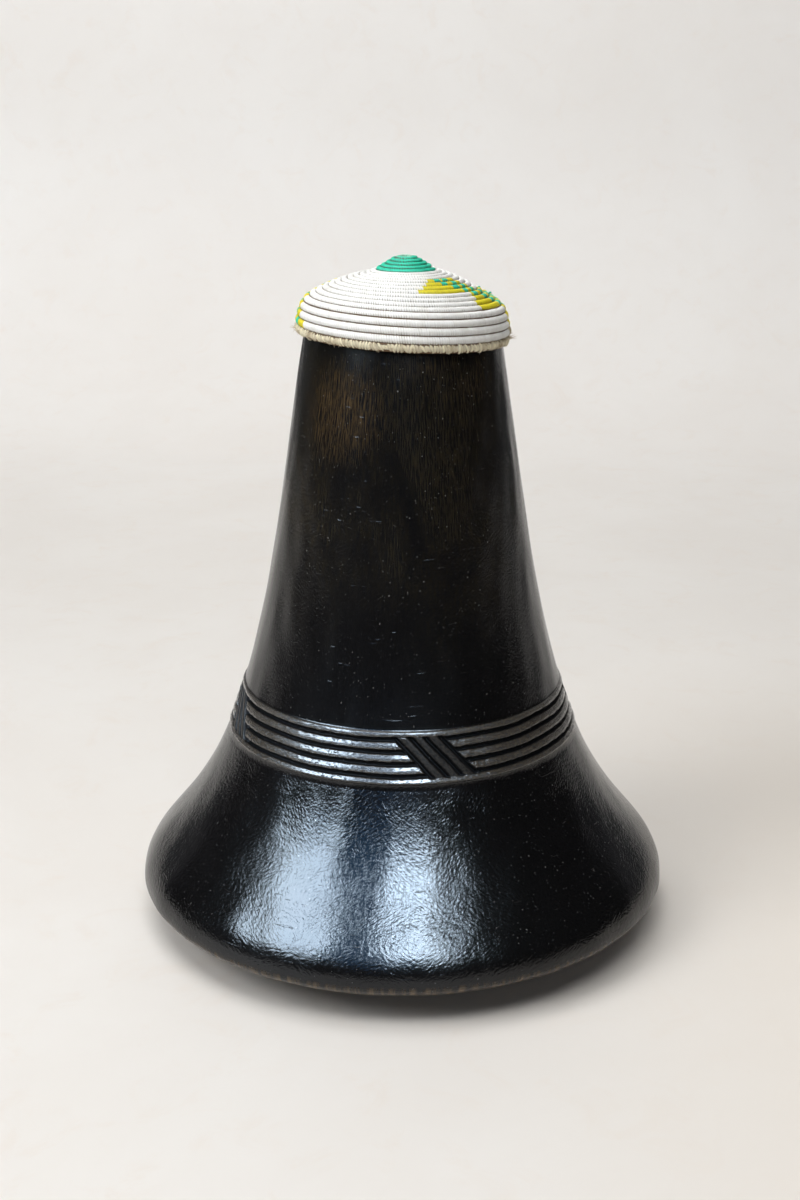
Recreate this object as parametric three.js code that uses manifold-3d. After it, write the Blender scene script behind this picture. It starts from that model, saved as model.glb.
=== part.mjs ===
// A carved wooden milk jug with a sewn basket lid, in millimetres, with +Z up.
// The origin is at the middle of the foot, and the front of the jug faces -Y.
// The jug is one block of wood, hollowed through its mouth. The lid is one long
// coil of grass, wound into a pointed cap and sewn in four kinds of strand, so
// each stretch of the coil with its own strand is a piece of its own.
import * as THREE from 'three';
import { mergeVertices } from 'three/addons/utils/BufferGeometryUtils.js';
import Module from 'manifold-3d';

const wasm = await Module();
wasm.setup();

// Jug: outer sizes
const jugHeight = 289;
const lipRadius = 41.7;
const lipRounding = 3;
const bellyRadius = 124.7;
const bellyHeight = 20.6;
const footRadius = 74;
const waistRadius = 81.45;
const waistSlope = 0.39;
const lipSlope = 0.19;

// Jug: how far each end of a curve keeps its direction before it bends
const undersideReach = 18.6;
const undersideRise = 4.4;
const bellyTuck = 6.9;
const bellyReach = 17.3;
const flareReach = 48.3;
const shoulderReach = 60.9;
const neckReach = 63.5;

// Jug: the hollow
const neckWall = 7.5;
const waistWall = 11;
const bellyWall = 18;
const baseThickness = 20;
const hollowBellyHeight = 31;
const hollowFlareShare = 1;
const hollowBellyReach = 14;

// Carved band: five ridges, four grooves, and four panels of slanted cuts
const bandHeight = 94.2;
const bandWidth = 22.1;
const bandProud = 0.7;
const borderRidge = 2.4;
const grooveCount = 4;
const grooveMouth = 2.5;
const grooveFloor = 1.3;
const grooveDepth = 2.2;
const panelAzimuths = [11, 97, 190, 285];
const slantCuts = 4;
const slantPitch = 6.6;
const slantWidth = 2.4;
const slantLean = 15.8;

// Lid: the coil and the middle of its thickness, measured from the rim
const lidFit = 1;
const lidOverlap = 14;
const lidHeight = 33.5;
const tipRadius = 4.7;
const tipDrop = 0.25;
const coneRadius = 14.9;
const coneDrop = 4.7;
const kneeRadius = 22.8;
const kneeDrop = 7.2;
const shoulderInset = 7.6;
const shoulderDrop = 14.8;
const cornerInset = 2.8;
const cornerDrop = 18.4;
const skirtInset = 0.4;
const skirtHeight = 8.6;
const lidLean = 2.3;
const seatGap = 0.3;

// Lid: how the coil runs
const coilThickness = 2.9;
const seamThickness = 1.2;
const crownShare = 0.44;
const coilTurns = 22;
const knotTurns = 1.5;
const greenTurns = 6;
const whiteTurns = 15;
const centrePitch = 2.2;
const rimPitch = 3.8;
const stepsPerTurn = 36;
const coilEndAzimuth = 80;
const tailSteps = 3;
const tailShare = 0.25;
const strandGap = 0.3;

// Lid: the yellow steps. Each row starts on a white turn, at an azimuth, and
// runs for a number of degrees along the coil.
const yellowSteps = [
  { firstTurn: 4, rows: [[20, 40], [20, 40], [10, 60], [10, 60]] },
  { firstTurn: 8, rows: [[50, 50], [50, 50], [50, 50], [50, 60]] },
  { firstTurn: 13, rows: [[80, 60], [80, 60], [80, 60]] },
  { firstTurn: 4, rows: [[210, 40], [200, 50], [200, 60], [190, 70]] },
  { firstTurn: 8, rows: [[230, 40], [230, 50], [220, 60], [220, 60]] },
  { firstTurn: 12, rows: [[240, 40], [230, 50], [230, 60], [220, 80]] },
];

const lathePieces = 48;
const degree = Math.PI / 180;

const blackenedWood = new THREE.MeshStandardMaterial({ color: 0x16130f, roughness: 0.35, metalness: 0 });
const whiteStrand = new THREE.MeshStandardMaterial({ color: 0xe8e4da, roughness: 0.75, metalness: 0 });
const greenStrand = new THREE.MeshStandardMaterial({ color: 0x22c994, roughness: 0.6, metalness: 0 });
const yellowStrand = new THREE.MeshStandardMaterial({ color: 0xe9cf17, roughness: 0.65, metalness: 0 });
const bareFibre = new THREE.MeshStandardMaterial({ color: 0xb6a687, roughness: 0.9, metalness: 0 });

// Turns a closed geometry into a solid that can be cut and joined.
function toSolid(geometry) {
  geometry.deleteAttribute('normal');
  geometry.deleteAttribute('uv');
  const merged = mergeVertices(geometry, 1e-4);
  const index = merged.index.array;
  const corners = [];
  for (let i = 0; i < index.length; i += 3) {
    const [a, b, c] = [index[i], index[i + 1], index[i + 2]];
    if (a !== b && b !== c && c !== a) {
      corners.push(a, b, c);
    }
  }
  const vertProperties = new Float32Array(merged.attributes.position.array);
  const triVerts = new Uint32Array(corners);
  return new wasm.Manifold(new wasm.Mesh({ numProp: 3, vertProperties, triVerts }));
}

// Turns a solid back into a geometry.
function toGeometry(solid) {
  const mesh = solid.getMesh();
  const geometry = new THREE.BufferGeometry();
  geometry.setAttribute('position', new THREE.BufferAttribute(mesh.vertProperties, 3));
  geometry.setIndex(new THREE.BufferAttribute(mesh.triVerts, 1));
  geometry.computeVertexNormals();
  return geometry;
}

// Spins an outline of radius and height about the upright axis.
function spin(outline) {
  const geometry = new THREE.LatheGeometry(outline, lathePieces);
  geometry.rotateX(Math.PI / 2);
  return toSolid(geometry);
}

function bend(start, leaving, arriving, end) {
  return new THREE.CubicBezierCurve(start, leaving, arriving, end);
}

// The outer wall is two bends that meet at the waist, under the carved band.
const point = (radius, height) => new THREE.Vector2(radius, height);
const neckTop = jugHeight - lipRounding;
const underside = bend(
  point(footRadius, 0),
  point(footRadius + undersideReach, undersideRise),
  point(bellyRadius, bellyHeight - bellyTuck),
  point(bellyRadius, bellyHeight),
);
const flare = bend(
  point(bellyRadius, bellyHeight),
  point(bellyRadius, bellyHeight + bellyReach),
  point(waistRadius + waistSlope * flareReach, bandHeight - flareReach),
  point(waistRadius, bandHeight),
);
const neck = bend(
  point(waistRadius, bandHeight),
  point(waistRadius - waistSlope * shoulderReach, bandHeight + shoulderReach),
  point(lipRadius + lipSlope * neckReach, neckTop - neckReach),
  point(lipRadius, neckTop),
);

// Radius of the outer wall at a height above the waist.
function neckRadiusAt(height) {
  let [low, high] = [0, 1];
  for (let i = 0; i < 40; i += 1) {
    const middle = (low + high) / 2;
    if (neck.getPoint(middle).y < height) {
      low = middle;
    } else {
      high = middle;
    }
  }
  return neck.getPoint(low).x;
}

// Highest point of the jug at a radius: the rounded lip, then the neck's outside.
const lipMiddle = lipRadius - neckWall / 2;
function jugTopAt(radius) {
  const across = (radius - lipMiddle) / (neckWall / 2);
  if (Math.abs(across) <= 1) {
    return neckTop + lipRounding * Math.sqrt(1 - across * across);
  }
  if (across < 0) {
    return 0;
  }
  let [low, high] = [bandHeight, neckTop];
  for (let i = 0; i < 40; i += 1) {
    const middle = (low + high) / 2;
    if (neckRadiusAt(middle) > radius) {
      low = middle;
    } else {
      high = middle;
    }
  }
  return low;
}

function jugOutline() {
  const bandTop = bandHeight + bandWidth;
  const edge = bandProud;
  const outline = [point(0, 0), ...underside.getPoints(5), ...flare.getPoints(8).slice(1)];
  const bandRows = 2;
  for (let i = 0; i <= bandRows; i += 1) {
    const height = bandHeight + edge + (bandWidth - 2 * edge) * (i / bandRows);
    outline.push(point(neckRadiusAt(height) + bandProud, height));
  }
  const neckRows = 7;
  for (let i = 0; i <= neckRows; i += 1) {
    const height = bandTop + (neckTop - bandTop) * (i / neckRows);
    outline.push(point(neckRadiusAt(height), height));
  }
  const lip = new THREE.EllipseCurve(lipMiddle, neckTop, neckWall / 2, lipRounding, 0, Math.PI);
  outline.push(...lip.getPoints(6).slice(1));
  return [...outline, ...hollowOutline()];
}

// The hollow follows the outside, with a thin neck and a thick base.
function hollowOutline() {
  const throat = point(waistRadius - waistWall, bandHeight);
  const widest = point(bellyRadius - bellyWall, hollowBellyHeight);
  const innerNeck = bend(
    point(lipRadius - neckWall, neckTop),
    point(lipRadius - neckWall + lipSlope * neckReach, neckTop - neckReach),
    point(throat.x - waistSlope * shoulderReach, throat.y + shoulderReach),
    throat,
  );
  const reach = flareReach * hollowFlareShare;
  const innerBelly = bend(
    throat,
    point(throat.x + waistSlope * reach, throat.y - reach),
    point(widest.x, widest.y + hollowBellyReach),
    widest,
  );
  const innerFloor = bend(
    widest,
    point(widest.x, baseThickness),
    point(widest.x * 0.7, baseThickness),
    point(0, baseThickness),
  );
  return [
    ...innerNeck.getPoints(5).slice(1),
    ...innerBelly.getPoints(4).slice(1),
    ...innerFloor.getPoints(4).slice(1),
  ];
}

// Places a flat shape on the wall of the band, at an azimuth, and pushes it in
// by the depth of a groove. The shape's x runs round the jug and its y up the wall.
const bandMiddle = bandHeight + bandWidth / 2;
const wallLean = Math.atan2(
  neckRadiusAt(bandHeight) - neckRadiusAt(bandHeight + bandWidth),
  bandWidth,
);
function onBand(shape, azimuth, inward) {
  const outward = 4 * grooveDepth;
  const geometry = new THREE.ExtrudeGeometry(shape, {
    depth: inward + outward,
    bevelEnabled: false,
    curveSegments: 1,
  });
  geometry.translate(0, 0, -inward);
  const angle = azimuth * degree;
  const around = new THREE.Vector3(Math.cos(angle), Math.sin(angle), 0);
  const away = new THREE.Vector3(Math.sin(angle), -Math.cos(angle), 0);
  const up = new THREE.Vector3(0, 0, 1);
  const alongWall = up.clone().multiplyScalar(Math.cos(wallLean)).addScaledVector(away, -Math.sin(wallLean));
  const fromWall = away.clone().multiplyScalar(Math.cos(wallLean)).addScaledVector(up, Math.sin(wallLean));
  const place = new THREE.Matrix4().makeBasis(around, alongWall, fromWall);
  const radius = neckRadiusAt(bandMiddle) + bandProud;
  place.setPosition(away.x * radius, away.y * radius, bandMiddle);
  geometry.applyMatrix4(place);
  return toSolid(geometry);
}

// A slanted bar, which leans to the left as it goes up.
function slantedShape(width, height) {
  const shift = slantLean / 2;
  const shape = new THREE.Shape();
  shape.moveTo(shift - width / 2, -height / 2);
  shape.lineTo(shift + width / 2, -height / 2);
  shape.lineTo(-shift + width / 2, height / 2);
  shape.lineTo(-shift - width / 2, height / 2);
  shape.closePath();
  return shape;
}

// The grooves stop at each panel, where slanted cuts take their place.
function bandCuts() {
  const ridgePitch = (bandWidth - borderRidge) / grooveCount;
  const cutHeight = (bandWidth - 2 * borderRidge) / Math.cos(wallLean);
  const panelWidth = (slantCuts - 1) * slantPitch + slantWidth;
  let cuts = null;
  for (let i = 0; i < grooveCount; i += 1) {
    const height = bandHeight + borderRidge / 2 + ridgePitch * (i + 0.5);
    const radius = neckRadiusAt(height) + bandProud;
    const outside = 2 * bandProud;
    const ring = spin([
      point(radius - grooveDepth, height - grooveFloor / 2),
      point(radius + outside, height - grooveMouth / 2),
      point(radius + outside, height + grooveMouth / 2),
      point(radius - grooveDepth, height + grooveFloor / 2),
      point(radius - grooveDepth, height - grooveFloor / 2),
    ]);
    cuts = cuts ? cuts.add(ring) : ring;
  }
  for (const azimuth of panelAzimuths) {
    cuts = cuts.subtract(onBand(slantedShape(panelWidth, 2 * bandWidth), azimuth, 4 * grooveDepth));
  }
  const turnPerCut = slantPitch / (neckRadiusAt(bandMiddle) * degree);
  for (const azimuth of panelAzimuths) {
    for (let i = 0; i < slantCuts; i += 1) {
      const place = azimuth + (i - (slantCuts - 1) / 2) * turnPerCut;
      cuts = cuts.add(onBand(slantedShape(slantWidth, cutHeight), place, grooveDepth));
    }
  }
  return cuts;
}

// The middle of the lid's thickness, from its tip down to its rim.
const lidRadius = neckRadiusAt(jugHeight - lidOverlap) + lidFit + coilThickness / 2;
const lidMeridian = new THREE.CatmullRomCurve3(
  [
    [0, lidHeight],
    [tipRadius, lidHeight - tipDrop],
    [coneRadius, lidHeight - coneDrop],
    [kneeRadius, lidHeight - kneeDrop],
    [lidRadius - shoulderInset, lidHeight - shoulderDrop],
    [lidRadius - cornerInset, lidHeight - cornerDrop],
    [lidRadius - skirtInset, skirtHeight],
    [lidRadius, 0],
  ].map(([radius, height]) => new THREE.Vector3(radius, height, 0)),
  false,
  'centripetal',
);

// Rows are narrow at the tip and grow steadily towards the rim.
const rowCount = coilTurns + 0.5;
function rowsToLength(rows) {
  return centrePitch * rows + ((rimPitch - centrePitch) * rows * rows) / (2 * rowCount);
}

const meridianLength = lidMeridian.getLength();
const lengthShare = meridianLength / rowsToLength(rowCount);

// A point of the coil, from the rows between it and the tip, its azimuth, its
// height over the middle of the thickness, and small shifts that keep pieces apart.
function coilPoint(rows, azimuth, height, shiftAround, shiftDown) {
  const length = rowsToLength(rows) * lengthShare + shiftDown;
  const share = Math.min(Math.max(length / meridianLength, 0), 1);
  const place = lidMeridian.getPointAt(share);
  const along = lidMeridian.getTangentAt(share);
  const radius = place.x - along.y * height;
  const angle = azimuth * degree + (radius > strandGap ? shiftAround / radius : 0);
  return new THREE.Vector3(
    radius * Math.sin(angle),
    -radius * Math.cos(angle),
    place.y + along.x * height,
  );
}

// The outside of each turn has a flat crown between two seams; the inside has a ridge.
const crest = coilThickness / 2;
const seam = seamThickness / 2;
const outsideRow = [
  { share: 0, height: seam },
  { share: (1 - crownShare) / 2, height: crest },
  { share: (1 + crownShare) / 2, height: crest },
];
const insideRow = [
  { share: 0, height: -seam },
  { share: 0.5, height: -crest },
];
const lastStep = Math.round((coilTurns - knotTurns) * stepsPerTurn) + tailSteps;

// Builds one stretch or field of the coil from the steps that it holds. A step
// is one short length of the coil, counted from the knot at the tip.
function coilPiece(steps) {
  const held = new Set(steps);
  const hasKnot = held.has(0);
  const holds = (step) => (step < 0 ? hasKnot : held.has(step));
  const corners = [];
  const numbers = new Map();
  const faces = [];

  function tailWidth(step) {
    const past = step - (lastStep - tailSteps);
    return past > 0 ? 1 - (1 - tailShare) * (past / tailSteps) : 1;
  }

  // The four steps round a seam corner say which way it draws back from its edge.
  function seamShift(step) {
    const upLeft = holds(step - stepsPerTurn - 1);
    const upRight = holds(step - stepsPerTurn);
    const downLeft = holds(step - 1);
    const downRight = holds(step);
    const around = Number((downRight && !downLeft) || (upRight && !upLeft))
      - Number((downLeft && !downRight) || (upLeft && !upRight));
    const down = Number((downLeft && !upLeft) || (downRight && !upRight))
      - Number((upLeft && !downLeft) || (upRight && !downRight));
    return [around * strandGap / 2, down * strandGap / 2];
  }

  function crownShift(step) {
    return (Number(holds(step) && !holds(step - 1)) - Number(holds(step - 1) && !holds(step)))
      * strandGap / 2;
  }

  function corner(step, row, k) {
    const belowIsShared = k === row.length && step + stepsPerTurn <= lastStep;
    if (belowIsShared) {
      return corner(step + stepsPerTurn, row, 0);
    }
    const key = `${step}/${row === outsideRow ? 'out' : 'in'}/${k}`;
    if (!numbers.has(key)) {
      const turn = knotTurns + step / stepsPerTurn;
      const spot = k === row.length ? { share: 1, height: row[0].height } : row[k];
      const narrow = tailWidth(step);
      const [around, down] = k === 0 ? seamShift(step) : [crownShift(step), 0];
      const rows = turn - 0.5 + spot.share * narrow;
      const azimuth = coilEndAzimuth + 360 * turn;
      numbers.set(key, corners.length);
      corners.push(coilPoint(rows, azimuth, spot.height * narrow, around, down));
    }
    return numbers.get(key);
  }

  // The first step starts flat, at the knot, so it has seam corners only.
  function chain(step, row) {
    if (step === 0) {
      return [corner(0, row, 0), corner(0, row, row.length)];
    }
    return [...row.map((spot, k) => corner(step, row, k)), corner(step, row, row.length)];
  }

  // Fills between two chains of corners, each taken in turn by its share done.
  function fillBetween(before, after) {
    let [i, j] = [0, 0];
    while (i < before.length - 1 || j < after.length - 1) {
      const beforeShare = (i + 1) / (before.length - 1);
      const afterShare = (j + 1) / (after.length - 1);
      if (j < after.length - 1 && afterShare <= beforeShare) {
        faces.push([before[i], after[j], after[j + 1]]);
        j += 1;
      } else {
        faces.push([before[i], after[j], before[i + 1]]);
        i += 1;
      }
    }
  }

  // Closes a cut end, whose outline is close to an oval.
  function closeEnd(step, facesForward) {
    const outline = [...chain(step, outsideRow), ...chain(step, insideRow).reverse()];
    for (let i = 1; i < outline.length - 1; i += 1) {
      const [a, b, c] = [outline[0], outline[i], outline[i + 1]];
      faces.push(facesForward ? [a, b, c] : [a, c, b]);
    }
  }

  for (const step of held) {
    fillBetween(chain(step + 1, outsideRow), chain(step, outsideRow));
    fillBetween(chain(step, insideRow), chain(step + 1, insideRow));
    if (step >= stepsPerTurn && !holds(step - stepsPerTurn)) {
      fillBetween(
        [corner(step, outsideRow, 0), corner(step, insideRow, 0)],
        [corner(step + 1, outsideRow, 0), corner(step + 1, insideRow, 0)],
      );
    }
    if (!holds(step + stepsPerTurn)) {
      fillBetween(
        [corner(step, insideRow, insideRow.length), corner(step, outsideRow, outsideRow.length)],
        [corner(step + 1, insideRow, insideRow.length), corner(step + 1, outsideRow, outsideRow.length)],
      );
    }
    if (!holds(step - 1)) {
      closeEnd(step, false);
    }
    if (!holds(step + 1)) {
      closeEnd(step + 1, true);
    }
  }

  if (hasKnot) {
    const top = corners.push(coilPoint(0, 0, crest, 0, 0)) - 1;
    const under = corners.push(coilPoint(0, 0, -crest, 0, 0)) - 1;
    for (let step = 0; step < stepsPerTurn; step += 1) {
      faces.push([top, corner(step, outsideRow, 0), corner(step + 1, outsideRow, 0)]);
      faces.push([under, corner(step + 1, insideRow, 0), corner(step, insideRow, 0)]);
    }
    const [innerTop, outerTop] = chain(0, outsideRow);
    const [innerUnder, outerUnder] = chain(0, insideRow);
    faces.push([top, outerTop, innerTop]);
    faces.push([under, innerUnder, outerUnder]);
  }

  const geometry = new THREE.BufferGeometry();
  geometry.setAttribute(
    'position',
    new THREE.Float32BufferAttribute(corners.flatMap((spot) => spot.toArray()), 3),
  );
  geometry.setIndex(faces.flat());
  geometry.computeVertexNormals();
  return geometry;
}

function stepRange(fromTurn, toTurn) {
  const first = Math.round((fromTurn - knotTurns) * stepsPerTurn);
  const end = Math.round((toTurn - knotTurns) * stepsPerTurn);
  return Array.from({ length: end - first }, (unused, i) => first + i);
}

// The steps of one yellow block, row by row.
function blockSteps({ firstTurn, rows }) {
  return rows.flatMap(([azimuth, degrees], i) => {
    const past = (((azimuth - coilEndAzimuth) % 360) + 360) % 360;
    const turn = greenTurns + firstTurn - 1 + i + past / 360;
    return stepRange(turn, turn + degrees / 360);
  });
}

function makeMesh(name, geometry, material) {
  const mesh = new THREE.Mesh(geometry, material);
  mesh.name = name;
  return mesh;
}

const jug = spin(jugOutline()).subtract(bandCuts());
const part = new THREE.Group();
part.add(makeMesh('jug_body', toGeometry(jug), blackenedWood));

const lid = new THREE.Group();
const rimTurns = greenTurns + whiteTurns;
const yellowBlocks = yellowSteps.map(blockSteps);
const inYellow = new Set(yellowBlocks.flat());
const whiteSteps = stepRange(greenTurns, rimTurns).filter((step) => !inYellow.has(step));
const rimSteps = stepRange(rimTurns, coilTurns + tailSteps / stepsPerTurn);
lid.add(makeMesh('lid_green_centre', coilPiece(stepRange(knotTurns, greenTurns)), greenStrand));
lid.add(makeMesh('lid_white_coil', coilPiece(whiteSteps), whiteStrand));
yellowBlocks.forEach((steps, i) => {
  lid.add(makeMesh(`lid_yellow_step_${i + 1}`, coilPiece(steps), yellowStrand));
});
lid.add(makeMesh('lid_rim_binding', coilPiece(rimSteps), bareFibre));

// The lid leans a little on the lip. It is lowered until its nearest point is
// one seat gap above the wood; a chord's sag is allowed for by looking inwards.
lid.rotation.y = lidLean * degree;
lid.updateMatrixWorld(true);
const chordSag = lidRadius * (1 - Math.cos(Math.PI / stepsPerTurn));
let lift = 0;
lid.traverse((object) => {
  if (!object.isMesh) {
    return;
  }
  const places = object.geometry.attributes.position;
  const spot = new THREE.Vector3();
  for (let i = 0; i < places.count; i += 1) {
    spot.fromBufferAttribute(places, i).applyMatrix4(object.matrixWorld);
    const radius = Math.hypot(spot.x, spot.y) - chordSag;
    lift = Math.max(lift, jugTopAt(radius) + seatGap - spot.z);
  }
});
lid.position.z = lift;
part.add(lid);

export default part;
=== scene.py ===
import math

import bpy
import numpy as np
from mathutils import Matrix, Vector


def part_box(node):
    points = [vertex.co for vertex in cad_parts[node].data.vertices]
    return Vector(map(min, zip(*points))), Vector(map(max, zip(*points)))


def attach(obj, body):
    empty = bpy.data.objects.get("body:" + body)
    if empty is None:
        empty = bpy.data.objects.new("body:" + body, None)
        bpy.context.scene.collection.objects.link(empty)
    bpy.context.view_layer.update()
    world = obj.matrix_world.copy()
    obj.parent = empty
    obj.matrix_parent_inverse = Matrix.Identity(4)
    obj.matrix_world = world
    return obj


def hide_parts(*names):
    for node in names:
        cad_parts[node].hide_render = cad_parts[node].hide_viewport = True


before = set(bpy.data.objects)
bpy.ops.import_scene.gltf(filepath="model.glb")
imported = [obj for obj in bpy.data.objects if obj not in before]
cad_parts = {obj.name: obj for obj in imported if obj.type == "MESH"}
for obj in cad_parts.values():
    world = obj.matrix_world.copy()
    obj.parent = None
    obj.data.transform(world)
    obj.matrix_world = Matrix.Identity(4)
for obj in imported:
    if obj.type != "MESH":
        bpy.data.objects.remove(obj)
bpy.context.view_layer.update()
bpy.context.scene.view_settings.view_transform = "Standard"


# The camera stands a little above the jug and looks down at it, square to the
# carved panel, through a short portrait lens.
camera_distance = 0.739
camera_height = 0.3865
camera_sideways = -0.001
camera_pitch = 17.6

lens = bpy.data.cameras.new("camera")
lens.lens = 50
lens.sensor_width = 36
lens.sensor_fit = "AUTO"
lens.clip_start = 0.01
lens.clip_end = 50
camera = bpy.data.objects.new("camera", lens)
camera.location = (camera_sideways, -camera_distance, camera_height)
camera.rotation_euler = (math.radians(90 - camera_pitch), 0, 0)
bpy.context.scene.collection.objects.link(camera)
bpy.context.scene.camera = camera


# The jug is one block of wood, shaped by eye with adze and knife, hollowed
# through its mouth, blackened with smoke and rubbed with fat until it shines.
# Sizes are in millimetres, as radius and height, and each wall is a bend.
mm = 0.001
jug_height = 289
lip_radius = 41.7
lip_rounding = 3
neck_wall = 7.5
waist_wall = 11
belly_wall = 18
neck_top = jug_height - lip_rounding
band_height = 94.2
waist_radius = 81.45
base_thickness = 20
foot_radius = 74
cap_radius = 8


def bend(start, leaving, arriving, end, count):
    share = np.linspace(0, 1, count + 1)[:, None]
    back = 1 - share
    ends = back**3 * np.array(start) + share**3 * np.array(end)
    pulls = 3 * back**2 * share * np.array(leaving) + 3 * back * share**2 * np.array(arriving)
    return ends + pulls


belly = (124.7, 20.6)
waist = (waist_radius, band_height)
lip_edge = (lip_radius, neck_top)
below_waist = (100.29, 45.9)
above_waist = (57.7, 155.1)
below_lip = (53.77, 222.5)
underside = bend((foot_radius, 0), (92.6, 4.4), (belly[0], 13.7), belly, 26)
flare = bend(belly, (belly[0], 37.9), below_waist, waist, 56)
neck = bend(waist, above_waist, below_lip, lip_edge, 400)


def inward(point, wall):
    return point[0] - wall, point[1]


hollow_radius = belly[0] - belly_wall
inner_lip = inward(lip_edge, neck_wall)
inner_waist = inward(waist, waist_wall)
hollow_side = (hollow_radius, 31)
hollow_corner = (hollow_radius, base_thickness)
hollow_middle = (cap_radius, base_thickness)
inner_neck = bend(
    inner_lip, inward(below_lip, neck_wall), inward(above_waist, waist_wall), inner_waist, 26)
inner_belly = bend(inner_waist, inward(below_waist, waist_wall), (hollow_radius, 45), hollow_side, 18)
inner_floor = bend(hollow_side, hollow_corner, (74.69, base_thickness), hollow_middle, 12)


def neck_radius(height):
    return np.interp(height, neck[:, 1], neck[:, 0])


# The carved band: five ridges and four grooves, cut by hand, so each edge
# wanders a little. Rows of the mesh gather at the walls of the grooves.
band_width = 22.1
band_proud = 0.7
border_ridge = 2.4
groove_count = 4
groove_depth = 2.2
ridge_fall = 0.4
groove_mouth = 1.2
groove_floor = 0.6
ridge_pitch = (band_width - border_ridge) / groove_count
half_pitch = ridge_pitch / 2
first_groove = band_height + border_ridge / 2 + half_pitch
wall_rows = [0.35, 0.7, 0.9, 1.1, 1.3, 1.5, 1.75, 2.1]
groove_rows = [*(-row for row in wall_rows[::-1]), 0, *wall_rows, 2.46]
groove_heights = [first_groove + ridge_pitch * i + row for i in range(groove_count) for row in groove_rows]
border_rows = [0, 0.2, 0.4, 0.65, 0.9, 1.2]
row_beside = 0.4
band_top = band_height + band_width
band_rows = [band_height - row_beside, *(band_height + row for row in border_rows)]
band_rows += groove_heights[:-1]
band_rows += [*(band_top - row for row in border_rows[::-1]), band_top + row_beside]
band = np.array([(neck_radius(height), height) for height in band_rows])
above_band = np.linspace(band_top + 1.5, neck_top, 84)
upper_neck = np.column_stack([neck_radius(above_band), above_band])
turn = np.linspace(0, math.pi, 12)[1:]
lip_middle = lip_radius - neck_wall / 2
lip = np.column_stack([lip_middle + neck_wall / 2 * np.cos(turn), neck_top + lip_rounding * np.sin(turn)])
foot = np.array([(cap_radius, 0), (35, 0), (60, 0), (71, 0)])
below_band = flare[1:-1]
outside = np.vstack([foot, underside, below_band, band, upper_neck, lip])
inside = np.vstack([inner_neck[1:], inner_belly[1:], inner_floor[1:]])
profile = np.vstack([outside, inside])

# Columns of the mesh are close together across the four slanted panels.
panel_azimuths = [11, 97, 190, 285]
panel_reach = 15
slant_cuts = 4
slant_pitch = 6.6
slant_lean = 15.8
slant_mouth = 1.5
slant_floor = 0.6
fine_step = 0.25
plain_step = 0.75
columns = []
azimuth = -180.0
while azimuth < 180:
    columns.append(azimuth)
    near_panel = min(abs((azimuth - panel + 180) % 360 - 180) for panel in panel_azimuths) < panel_reach
    azimuth += fine_step if near_panel else plain_step
columns = np.array(columns)
column_turn = np.radians(columns)[None, :]


def smooth(value, low, high):
    share = np.clip((value - low) / (high - low), 0, 1)
    return share * share * (3 - 2 * share)


def waves(seed, count, around, upward, size):
    """Slow bumps that close on themselves round the jug."""
    draw = np.random.default_rng(seed)
    total = 0
    for _ in range(count):
        times = draw.integers(around[0], around[1] + 1)
        rise = draw.uniform(-upward, upward)
        start = draw.uniform(0, 2 * math.pi)
        total = total + np.sin(times * column_turn + rise * profile[:, 1:2] + start)
    return total * size / math.sqrt(count)


radius = np.repeat(profile[:, 0:1], len(columns), axis=1)
height = np.repeat(profile[:, 1:2], len(columns), axis=1)
along = np.gradient(profile, axis=0)
along /= np.linalg.norm(along, axis=1)[:, None]
outward_radius = along[:, 1:2]
outward_height = -along[:, 0:1]

edge_out = 0.2
edge_in = 0.9
above_edge = smooth(height, band_height - edge_out, band_height + edge_in)
above_top = smooth(height, band_top - edge_in, band_top + edge_out)
in_band = above_edge * (1 - above_top)
in_band[len(outside):] = 0
wander = waves(3, 9, (2, 14), 0.2, 0.16) + waves(4, 9, (30, 120), 0.5, 0.07)
from_first = height + wander - first_groove
groove_number = np.clip(np.round(from_first / ridge_pitch), 0, groove_count - 1)
above_groove = from_first - groove_number * ridge_pitch
above_ridge = (from_first + half_pitch) % ridge_pitch
above_ridge = np.where(above_ridge > half_pitch, above_ridge - ridge_pitch, above_ridge)


def cut_depth(distance, floor, mouth):
    return (1 - smooth(distance, floor, mouth)) * (groove_depth - ridge_fall)


# The knife left the upper half of each ridge leaning back, and that face shines.
ridge_bevel = 0.22
ridge_crown = 0.02
bevel_start = 0.3
ridge_half = 1.4
on_ridge = np.clip(above_ridge, -ridge_half, ridge_half)
rounding = ridge_bevel * np.clip(on_ridge + bevel_start, 0, None) + ridge_crown * on_ridge**2
depth = cut_depth(np.abs(above_groove), groove_floor, groove_mouth) + rounding

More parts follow.
